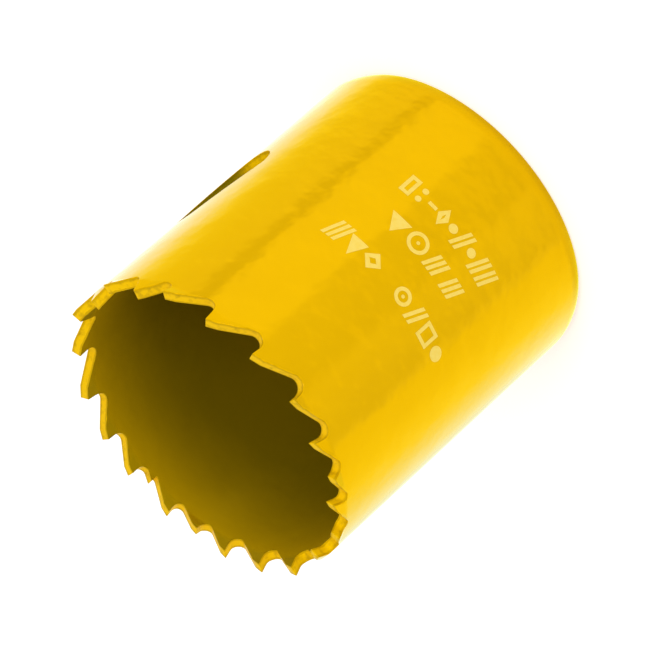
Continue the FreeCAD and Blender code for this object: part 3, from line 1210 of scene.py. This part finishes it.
def makeEdgeGroup():
    # darker lines along a cut edge, and on its cut face a tint, dents, roughness and coat of its own
    group, given, result = shaderGroup(
        "edge lines",
        [
            ("Colour", "Color", (1, 1, 1, 1)), ("Edge", "Float", 0.0), ("Strength", "Float", 1.0),
            ("Coordinates", "Vector", None), ("Scale", "Float", 1300.0), ("Wobble", "Float", 0.35),
            ("Steady Reach", "Float", 0.25), ("Dents", "Float", 0.8), ("Dent Contrast", "Float", 3.0),
            ("Dent Colour", "Color", (0.4, 0.235, 0.003, 1)), ("Cut Start", "Float", 0.45),
            ("Cut End", "Float", 1.64), ("Roughness", "Float", 0.1), ("Coat", "Float", 1.0),
            ("Cut Roughness", "Float", 0.5), ("Cut Coat", "Float", 0.2),
            ("Cut Tint", "Color", (1.05, 1.13, 1, 1)),
        ],
        [("Colour", "Color"), ("Roughness", "Float"), ("Coat", "Float")],
    )
    calculate = calculator(group)
    uneven = calculate("SUBTRACT", noiseIn(group, given["Coordinates"], given["Scale"]), 0.5)
    near = calculate("MINIMUM", calculate("DIVIDE", given["Edge"], given["Steady Reach"]), 1.0)
    moved = calculate("MULTIPLY", calculate("MULTIPLY", uneven, given["Wobble"]), near)
    ramp = group.nodes.new("ShaderNodeValToRGB")
    share = calculate("DIVIDE", calculate("ADD", given["Edge"], moved), edgeLines[-1][0])
    group.links.new(share, ramp.inputs[0])
    elements = ramp.color_ramp.elements
    for number, (place, level) in enumerate(edgeLines):
        share = place / edgeLines[-1][0]
        element = elements[number] if number in (0, 1) else elements.new(share)
        element.position = share
        element.color = (level, level, level, 1)
    lined = mixColours(group, given["Strength"], given["Colour"], ramp.outputs["Color"], "MULTIPLY")
    cut = calculate("GREATER_THAN", given["Edge"], given["Cut Start"])
    cut = calculate("MULTIPLY", cut, calculate("LESS_THAN", given["Edge"], given["Cut End"]))
    for name in ("Roughness", "Coat"):
        group.links.new(blendValues(calculate, cut, given[name], given["Cut " + name]), result[name])
    lined = mixColours(group, cut, lined, given["Cut Tint"], "MULTIPLY")
    dent = calculate("SUBTRACT", 0.0, calculate("MULTIPLY", uneven, given["Dent Contrast"]))
    dent = calculate("MULTIPLY", calculate("MAXIMUM", dent, 0.0), given["Dents"])
    dent = calculate("MULTIPLY", dent, cut)
    group.links.new(mixColours(group, dent, lined, given["Dent Colour"]), result["Colour"])
    return group


def makeInsideGroup():
    # painted shade inside the cup, darker deeper down, with cloudy patches
    group, given, result = shaderGroup(
        "thin inside paint",
        [
            ("Colour", "Color", (1, 1, 1, 1)), ("Mouth Colour", "Color", (1, 1, 1, 1)),
            ("Deep Colour", "Color", (1, 1, 1, 1)), ("Share", "Float", 0.0), ("Coordinates", "Vector", None),
            ("Deep Height", "Float", 0.028), ("Mouth Height", "Float", 0.0425), ("Fade", "Float", 2.0),
            ("Patches", "Float", 0.2), ("Patch Scale", "Float", 130.0), ("Roughness", "Float", 0.1),
            ("Coat", "Float", 1.0), ("Inside Roughness", "Float", 0.4), ("Inside Coat", "Float", 0.25),
        ],
        [("Colour", "Color"), ("Roughness", "Float"), ("Coat", "Float")],
    )
    calculate = calculator(group)
    split = group.nodes.new("ShaderNodeSeparateXYZ")
    group.links.new(given["Coordinates"], split.inputs[0])
    span = calculate("SUBTRACT", given["Mouth Height"], given["Deep Height"])
    rise = calculate("DIVIDE", calculate("SUBTRACT", split.outputs["Z"], given["Deep Height"]), span)
    rise = calculate("POWER", calculate("MAXIMUM", rise, 0.0), given["Fade"])
    cloud = calculate("SUBTRACT", noiseIn(group, given["Coordinates"], given["Patch Scale"], 3.0), 0.5)
    rise = calculate("ADD", rise, calculate("MULTIPLY", cloud, given["Patches"]))
    rise = calculate("MINIMUM", rise, 1.0)
    # a share above 1 makes the shade reach further up
    deeper = calculate("MAXIMUM", calculate("SUBTRACT", given["Share"], 1.0), 0.0)
    rise = calculate("MAXIMUM", calculate("SUBTRACT", rise, deeper), 0.0)
    share = calculate("MINIMUM", given["Share"], 1.0)
    lining = mixColours(group, rise, given["Deep Colour"], given["Mouth Colour"])
    group.links.new(mixColours(group, share, given["Colour"], lining), result["Colour"])
    for name in ("Roughness", "Coat"):
        group.links.new(blendValues(calculate, share, given[name], given["Inside " + name]), result[name])
    return group


def makeMottleGroup():
    # one colour with fine uneven patches of another
    group, given, result = shaderGroup(
        "mottled colour",
        [
            ("Colour", "Color", (1, 1, 1, 1)), ("Patch Colour", "Color", (1, 1, 1, 1)),
            ("Coordinates", "Vector", None), ("Scale", "Float", 400.0), ("Amount", "Float", 0.5),
            ("Threshold", "Float", 0.45), ("Softness", "Float", 0.1), ("Contrast", "Float", 3.0),
        ],
        [("Colour", "Color")],
    )
    calculate = calculator(group)
    patches = noiseIn(group, given["Coordinates"], given["Scale"], 3.0)
    patches = calculate("SUBTRACT", patches, given["Threshold"])
    share = calculate("SMOOTH_MAX", patches, 0.0, given["Softness"])
    share = calculate("MULTIPLY", calculate("MULTIPLY", share, given["Contrast"]), given["Amount"])
    group.links.new(mixColours(group, share, given["Colour"], given["Patch Colour"]), result["Colour"])
    return group


shaderGroups = {
    "peel": makePeelGroup(),
    "edges": makeEdgeGroup(),
    "inside": makeInsideGroup(),
    "mottle": makeMottleGroup(),
}


def useGroup(material, group, values):
    # a group node whose inputs are set by name, to a value or to another node's output
    tree = material.node_tree
    node = tree.nodes.new("ShaderNodeGroup")
    node.node_tree = shaderGroups[group]
    for name, value in values.items():
        if isinstance(value, bpy.types.NodeSocket):
            tree.links.new(value, node.inputs[name])
        else:
            node.inputs[name].default_value = value
    return node.outputs


def readAttribute(material, name):
    node = material.node_tree.nodes.new("ShaderNodeAttribute")
    node.attribute_name = name
    return node.outputs["Fac"]


def makePaint(name, paint):
    material, shader = newMaterial(name, paintFinish)
    links = material.node_tree.links
    place = material.node_tree.nodes.new("ShaderNodeTexCoord").outputs["Object"]
    body = useGroup(material, "mottle", {
        "Colour": (*colours["paint"], 1), "Patch Colour": (*colours["paintPatch"], 1),
        "Coordinates": place, "Scale": paintPatchScale, "Amount": 1.0,
    })
    if "inside" in paint["reads"]:
        body = useGroup(material, "inside", {
            "Colour": body["Colour"], "Mouth Colour": (*colours["mouthPaintedShade"], 1),
            "Deep Colour": (*colours["deepPaintedShade"], 1), "Share": readAttribute(material, "inside"),
            "Coordinates": place, "Roughness": paintFinish["Roughness"], "Coat": paintFinish["Coat Weight"],
        })
    if "edge" in paint["reads"]:
        body = useGroup(material, "edges", {
            "Colour": body["Colour"], "Edge": readAttribute(material, "edge"), "Coordinates": place,
            "Roughness": body["Roughness"], "Coat": body["Coat"],
        })
    if paint["reads"]:
        links.new(body["Roughness"], shader.inputs["Roughness"])
        links.new(body["Coat"], shader.inputs["Coat Weight"])
    links.new(body["Colour"], shader.inputs["Base Color"])
    facing = useGroup(material, "peel", {
        "Coordinates": place, "Scale": paint["peelScale"], "Depth": paint["peelDepth"],
    })["Normal"]
    links.new(facing, shader.inputs["Normal"])
    return material


def makeInk():
    material, shader = newMaterial("print_ink", inkFinish)
    links = material.node_tree.links
    place = material.node_tree.nodes.new("ShaderNodeTexCoord").outputs["Object"]
    body = useGroup(material, "mottle", {
        "Colour": (*colours["ink"], 1), "Patch Colour": (*colours["thinInk"], 1),
        "Coordinates": place, "Scale": ink["patchScale"], "Amount": ink["patches"],
    })
    peel = useGroup(material, "peel", {
        "Coordinates": place, "Scale": ink["peelScale"], "Depth": ink["peelDepth"],
    })
    links.new(body["Colour"], shader.inputs["Base Color"])
    links.new(peel["Normal"], shader.inputs["Normal"])
    return material


wallPaint = makePaint("painted_wall", paints["wall"])
platePaint = makePaint("painted_plate", paints["plate"])
weldPaint = makePaint("painted_weld", paints["weld"])
printInk = makeInk()
print("materials made")


# The pieces

rolledWall = flatWall()
rollSheet(rolledWall, rollTree, wallPaint)
closeMesh(rolledWall, finish["merge"])
endPlate = makePlate()
endPlate.data.materials.append(platePaint)
closeMesh(endPlate, finish["merge"])
backWeld = makeBead(weldPaint)
printedMarks = flatMarks()
rollSheet(printedMarks, rollTree, printInk)
closeMesh(printedMarks, marks["merge"])
for piece in (rolledWall, endPlate, backWeld, printedMarks):
    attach(piece, "root")
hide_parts("toothed_wall")
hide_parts("end_plate")
print("pieces made")


# Floor and light

studio = {
    "floorSize": 2.0,
    "floorDrop": 0.00005,  # keeps the floor clear of the saw's flat back
    "floorLight": 0.45,  # share of the floor's white that doesn't depend on the lamps
    "floorColour": 0.8,
    "ambient": 0.82,
    "greenLoss": 0.04,  # how much green and blue golden light lacks
    "blueLoss": 0.97,
    "lemon": 0.6,  # extra green of half golden light
    "lamp": {"place": (0.3, -0.55, 0.6), "aim": (0, 0, 0.02), "size": 0.5, "watts": 1.8},
    # light in mirrored directions that lead up or down: how bright, how golden, its share, and the heights of
    # the direction where it begins and where it is complete
    "zones": (
        (1.0, 1.0, 1.0, -0.1, 0.15), (2.1, 1.0, 0.3, -0.537, -0.563), (1.15, 1.0, 1.0, -0.58, -0.72),
        (0.65, 0.97, 1.0, -0.85, -0.96),
    ),
    # what the rest mirrors: degrees round from the camera, how bright the studio is there, and how golden
    "reflected": (
        (-180, 1.1, 0.22), (-160, 1.05, 0.24), (-148, 1.3, 0.36), (-136, 1.5, 0.52), (-124, 1.7, 0.74),
        (-112, 2.0, 0.96), (-96, 1.9, 1.0), (-84, 1.65, 1.0), (-72, 1.5, 1.0), (-67, 1.0, 0.9),
        (-63, 0.65, 0.9), (-52, 0.7, 0.85), (-46, 0.82, 0.85), (-36, 0.8, 0.85), (-31, 0.92, 0.85),
        (-27, 0.8, 0.85), (-20, 0.5, 0.85), (0, 0.6, 0.85), (18, 0.65, 0.85), (23, 1.35, 0.9),
        (63, 1.35, 0.95), (67, 0.3, 0.9), (74, 0.3, 0.9), (78, 0.95, 0.95), (98, 1.05, 1.0),
        (110, 1.15, 1.0), (118, 1.35, 0.97), (125, 1.4, 0.78), (136, 1.42, 0.32), (148, 1.42, 0.16),
        (180, 1.25, 0.0),
    ),
}


def makeFloor():
    half = studio["floorSize"] / 2
    mesh = bpy.data.meshes.new("floor")
    corners = [(-half, -half), (half, -half), (half, half), (-half, half)]
    mesh.from_pydata([(x, y, -studio["floorDrop"]) for x, y in corners], [], [(0, 1, 2, 3)])
    floor = bpy.data.objects.new("floor", mesh)
    scene.collection.objects.link(floor)
    material, shader = newMaterial("floor_white", {
        "Base Color": (studio["floorColour"],) * 3 + (1,),
        "Roughness": 1.0,
        "Specular IOR Level": 0,
        "Emission Color": (1, 1, 1, 1),
    })
    tree = material.node_tree
    calculate = calculator(tree)
    seen = tree.nodes.new("ShaderNodeLightPath")
    clear = calculate("MAXIMUM", seen.outputs["Is Camera Ray"], seen.outputs["Is Glossy Ray"])
    clear = calculate("MAXIMUM", clear, seen.outputs["Is Transmission Ray"])
    strength = calculate("MULTIPLY", clear, studio["floorLight"])
    tree.links.new(strength, shader.inputs["Emission Strength"])
    mesh.materials.append(material)
    floor.visible_glossy = False


def goldenLight(level, golden):
    green = 1 - studio["greenLoss"] * golden + studio["lemon"] * golden * (1 - golden)
    return (level, level * green, level * (1 - studio["blueLoss"] * golden), 1)


def makeWorld():
    world = bpy.data.worlds.new("studio")
    scene.world = world
    world.use_nodes = True
    tree = world.node_tree
    nodes = tree.nodes
    links = tree.links
    background = nodes["Background"]

    calculate = calculator(tree)
    coordinates = nodes.new("ShaderNodeTexCoord")
    split = nodes.new("ShaderNodeSeparateXYZ")
    links.new(coordinates.outputs["Generated"], split.inputs[0])
    # the middle of the ramp lies on the photograph's side of the saw
    facing = math.radians(90 - cameraView["azimuth"])
    turned = calculate("ARCTAN2", split.outputs[1], split.outputs[0])
    turned = calculate("ADD", turned, facing)
    turned = calculate("DIVIDE", turned, 2 * math.pi)
    turned = calculate("FRACT", calculate("ADD", turned, 0.5))
    ramp = nodes.new("ShaderNodeValToRGB")
    links.new(turned, ramp.inputs[0])
    elements = ramp.color_ramp.elements
    for number, (angle, level, golden) in enumerate(studio["reflected"]):
        place = (angle + 180) / 360
        element = elements[number] if number < 2 else elements.new(place)
        element.position = place
        element.color = goldenLight(level, golden)
    mirrored = ramp.outputs["Color"]
    for level, golden, most, begin, complete in studio["zones"]:
        past = calculate("SUBTRACT", split.outputs[2], begin)
        share = calculate("MULTIPLY", past, most / (complete - begin))
        share = calculate("MINIMUM", calculate("MAXIMUM", share, 0.0), most)
        mirrored = mixColours(tree, share, mirrored, goldenLight(level, golden))
    seen = nodes.new("ShaderNodeLightPath")
    light = mixColours(tree, seen.outputs["Is Glossy Ray"], (studio["ambient"],) * 3 + (1,), mirrored)
    clear = calculate("MAXIMUM", seen.outputs["Is Camera Ray"], seen.outputs["Is Transmission Ray"])
    links.new(mixColours(tree, clear, light, (1, 1, 1, 1)), background.inputs["Color"])


def makeLamp(name, values):
    data = bpy.data.lights.new(name, "AREA")
    data.shape = "DISK"
    data.size = values["size"]
    data.energy = values["watts"]
    lamp = bpy.data.objects.new(name, data)
    lamp.location = values["place"]
    way = Vector(values["aim"]) - Vector(values["place"])
    lamp.rotation_euler = way.to_track_quat("-Z", "Y").to_euler()
    scene.collection.objects.link(lamp)


makeFloor()
makeWorld()
makeLamp("key", studio["lamp"])
scene.view_settings.view_transform = "Standard"
print("studio made")
